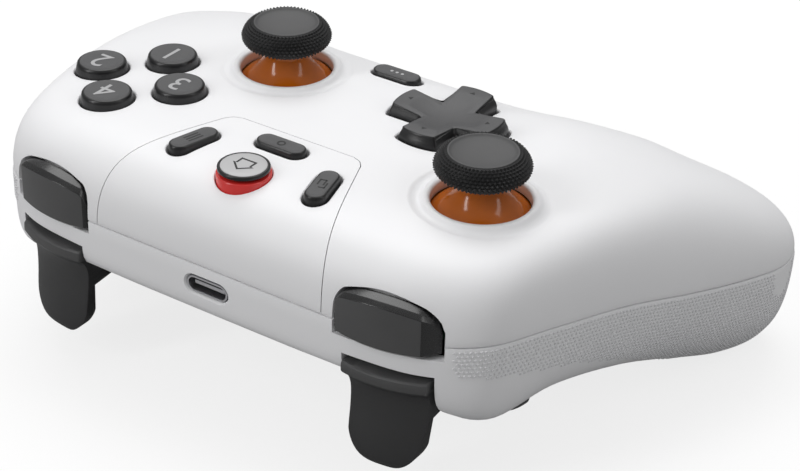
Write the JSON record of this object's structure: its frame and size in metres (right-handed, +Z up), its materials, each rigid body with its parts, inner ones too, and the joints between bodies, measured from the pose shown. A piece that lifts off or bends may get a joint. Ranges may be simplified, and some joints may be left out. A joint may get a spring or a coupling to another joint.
{
  "type": "gamepad controller",
  "caption": "White two-handed gamepad with offset thumb sticks on gimbals, direction pad, round face buttons, bumpers, hinged triggers and rear paddles in a two-part moulded shell.",
  "frame": {"origin": "middle of the overall box, at the lowest points of the handles", "axes": "+X to the player's right, +Y from the player towards the shoulder edge, +Z up, out of the face"},
  "size_m": [0.1498, 0.0958, 0.0576],
  "materials": {
    "white_shell": "satin moulded",
    "grey_trim": "satin moulded",
    "charcoal": "satin moulded",
    "shoulder": "half gloss",
    "orange": "gloss",
    "grip_rubber": "knurled rim, smooth dish",
    "silver_cap": "half gloss",
    "light_ring": "clear red",
    "steel": "plain",
    "pad_rubber": "matt",
    "board": "solder mask",
    "cell": "foil"
  },
  "bodies": {
    "case": {"front_shell": "white_shell", "centre_panel": "white_shell", "rear_shell": "white_shell", "left_collar": "grey_trim", "right_collar": "grey_trim", "left_stick_housing": "steel", "right_stick_housing": "steel", "face_pad": "pad_rubber", "pad_post": "grey_trim", "pad_rubber": "pad_rubber", "small_switches": "steel", "home_light_ring": "light_ring", "usb_socket": "steel", "main_board": "board", "battery": "cell", "bumper_pins": "steel", "bumper_switches": "steel", "trigger_pins": "steel", "paddle_switches": "steel", "left_motor": "steel", "right_motor": "steel", "case_screws": "steel"},
    "south_button": {"south_button": "charcoal"},
    "east_button": {"east_button": "charcoal"},
    "west_button": {"west_button": "charcoal"},
    "north_button": {"north_button": "charcoal"},
    "menu_button": {"menu_button": "charcoal"},
    "view_button": {"view_button": "charcoal"},
    "capture_button": {"capture_button": "charcoal"},
    "mode_button": {"mode_button": "charcoal"},
    "home_button": {"home_button": "silver_cap"},
    "left_paddle": {"left_paddle": "charcoal"},
    "right_paddle": {"right_paddle": "charcoal"},
    "left_yoke": {"left_yoke": "charcoal"},
    "left_spindle": {"left_spindle": "steel"},
    "left_cross_arch": {"left_cross_arch": "grey_trim"},
    "left_thumb_piece": {"left_stem": "orange", "left_cap": "grip_rubber"},
    "right_yoke": {"right_yoke": "charcoal"},
    "right_spindle": {"right_spindle": "steel"},
    "right_cross_arch": {"right_cross_arch": "grey_trim"},
    "right_thumb_piece": {"right_stem": "orange", "right_cap": "grip_rubber"},
    "pad_ball": {"pad_ball": "steel"},
    "direction_pad": {"direction_pad": "charcoal"},
    "right_bumper": {"right_bumper": "shoulder"},
    "right_trigger": {"right_trigger": "shoulder"},
    "right_weight": {"right_weight": "steel"},
    "left_bumper": {"left_bumper": "shoulder"},
    "left_trigger": {"left_trigger": "shoulder"},
    "left_weight": {"left_weight": "steel"}
  },
  "joints": [
    {"name": "south_button_press", "type": "slide", "parent": "case", "child": "south_button", "axis": [0, 0, -1], "range_m": [0, 0.0015], "stiffness_N_per_m": 600},
    {"name": "east_button_press", "type": "slide", "parent": "case", "child": "east_button", "axis": [0, 0, -1], "range_m": [0, 0.0015], "stiffness_N_per_m": 600},
    {"name": "west_button_press", "type": "slide", "parent": "case", "child": "west_button", "axis": [0, 0, -1], "range_m": [0, 0.0015], "stiffness_N_per_m": 600},
    {"name": "north_button_press", "type": "slide", "parent": "case", "child": "north_button", "axis": [0, 0, -1], "range_m": [0, 0.0015], "stiffness_N_per_m": 600},
    {"name": "menu_button_press", "type": "slide", "parent": "case", "child": "menu_button", "axis": [0, 0, -1], "range_m": [0, 0.0005], "stiffness_N_per_m": 600},
    {"name": "view_button_press", "type": "slide", "parent": "case", "child": "view_button", "axis": [0, 0, -1], "range_m": [0, 0.0005], "stiffness_N_per_m": 600},
    {"name": "capture_button_press", "type": "slide", "parent": "case", "child": "capture_button", "axis": [0, 0, -1], "range_m": [0, 0.0005], "stiffness_N_per_m": 600},
    {"name": "mode_button_press", "type": "slide", "parent": "case", "child": "mode_button", "axis": [0, 0, -1], "range_m": [0, 0.0005], "stiffness_N_per_m": 600},
    {"name": "home_button_press", "type": "slide", "parent": "case", "child": "home_button", "axis": [0, 0, -1], "range_m": [0, 0.0005], "stiffness_N_per_m": 600},
    {"name": "left_paddle_press", "type": "slide", "parent": "case", "child": "left_paddle", "axis": [0, 0, 1], "range_m": [0, 0.0006], "stiffness_N_per_m": 600},
    {"name": "right_paddle_press", "type": "slide", "parent": "case", "child": "right_paddle", "axis": [0, 0, 1], "range_m": [0, 0.0006], "stiffness_N_per_m": 600},
    {"name": "left_stick_tilt_x", "type": "hinge", "parent": "case", "child": "left_yoke", "pos_m": [-0.0383, 0.0181, 0.03903], "axis": [1, 0, 0], "range_deg": [-15, 15], "stiffness_Nm_per_rad": 0.05},
    {"name": "left_stick_tilt_y", "type": "hinge", "parent": "left_yoke", "child": "left_spindle", "pos_m": [-0.0383, 0.0181, 0.03903], "axis": [0, 1, 0], "range_deg": [-15, 15], "stiffness_Nm_per_rad": 0.05},
    {"name": "left_arch_swing", "type": "hinge", "parent": "case", "child": "left_cross_arch", "pos_m": [-0.0383, 0.0181, 0.03903], "axis": [0, 1, 0], "range_deg": [-16, 16]},
    {"name": "left_stick_press", "type": "slide", "parent": "left_spindle", "child": "left_thumb_piece", "axis": [0, 0, -1], "range_m": [0, 0.0005], "stiffness_N_per_m": 2000},
    {"name": "right_stick_tilt_x", "type": "hinge", "parent": "case", "child": "right_yoke", "pos_m": [0.0185, -0.0019, 0.03945], "axis": [1, 0, 0], "range_deg": [-15, 15], "stiffness_Nm_per_rad": 0.05},
    {"name": "right_stick_tilt_y", "type": "hinge", "parent": "right_yoke", "child": "right_spindle", "pos_m": [0.0185, -0.0019, 0.03945], "axis": [0, 1, 0], "range_deg": [-15, 15], "stiffness_Nm_per_rad": 0.05},
    {"name": "right_arch_swing", "type": "hinge", "parent": "case", "child": "right_cross_arch", "pos_m": [0.0185, -0.0019, 0.03945], "axis": [0, 1, 0], "range_deg": [-16, 16]},
    {"name": "right_stick_press", "type": "slide", "parent": "right_spindle", "child": "right_thumb_piece", "axis": [0, 0, -1], "range_m": [0, 0.0005], "stiffness_N_per_m": 2000},
    {"name": "pad_rock_x", "type": "hinge", "parent": "case", "child": "pad_ball", "pos_m": [-0.0185, -0.0019, 0.04445], "axis": [1, 0, 0], "range_deg": [-3.5, 3.5], "stiffness_Nm_per_rad": 0.4},
    {"name": "pad_rock_y", "type": "hinge", "parent": "pad_ball", "child": "direction_pad", "pos_m": [-0.0185, -0.0019, 0.04445], "axis": [0, 1, 0], "range_deg": [-3.5, 3.5], "stiffness_Nm_per_rad": 0.4},
    {"name": "right_bumper_press", "type": "hinge", "parent": "case", "child": "right_bumper", "pos_m": [0.0252, 0.0415, 0.035], "axis": [0, 0, -1], "range_deg": [0, 1], "stiffness_Nm_per_rad": 2},
    {"name": "right_trigger_pull", "type": "hinge", "parent": "case", "child": "right_trigger", "pos_m": [0.0375, 0.0364, 0.0266], "axis": [-1, 0, 0], "range_deg": [0, 17], "stiffness_Nm_per_rad": 0.12, "springref_deg": -14.32},
    {"name": "right_weight_spin", "type": "hinge", "parent": "case", "child": "right_weight", "pos_m": [0.0555, -0.0055, 0.0205], "axis": [0, 1, 0], "continuous": true},
    {"name": "left_bumper_press", "type": "hinge", "parent": "case", "child": "left_bumper", "pos_m": [-0.0252, 0.0415, 0.035], "axis": [0, 0, 1], "range_deg": [0, 1], "stiffness_Nm_per_rad": 2},
    {"name": "left_trigger_pull", "type": "hinge", "parent": "case", "child": "left_trigger", "pos_m": [-0.0375, 0.0364, 0.0266], "axis": [-1, 0, 0], "range_deg": [0, 17], "stiffness_Nm_per_rad": 0.12, "springref_deg": -14.32},
    {"name": "left_weight_spin", "type": "hinge", "parent": "case", "child": "left_weight", "pos_m": [-0.0555, -0.0055, 0.0205], "axis": [0, 1, 0], "continuous": true}
  ],
  "couplings": [
    {"joint": "left_arch_swing", "follows": "left_stick_tilt_y", "ratio": 1},
    {"joint": "right_arch_swing", "follows": "right_stick_tilt_y", "ratio": 1}
  ]
}
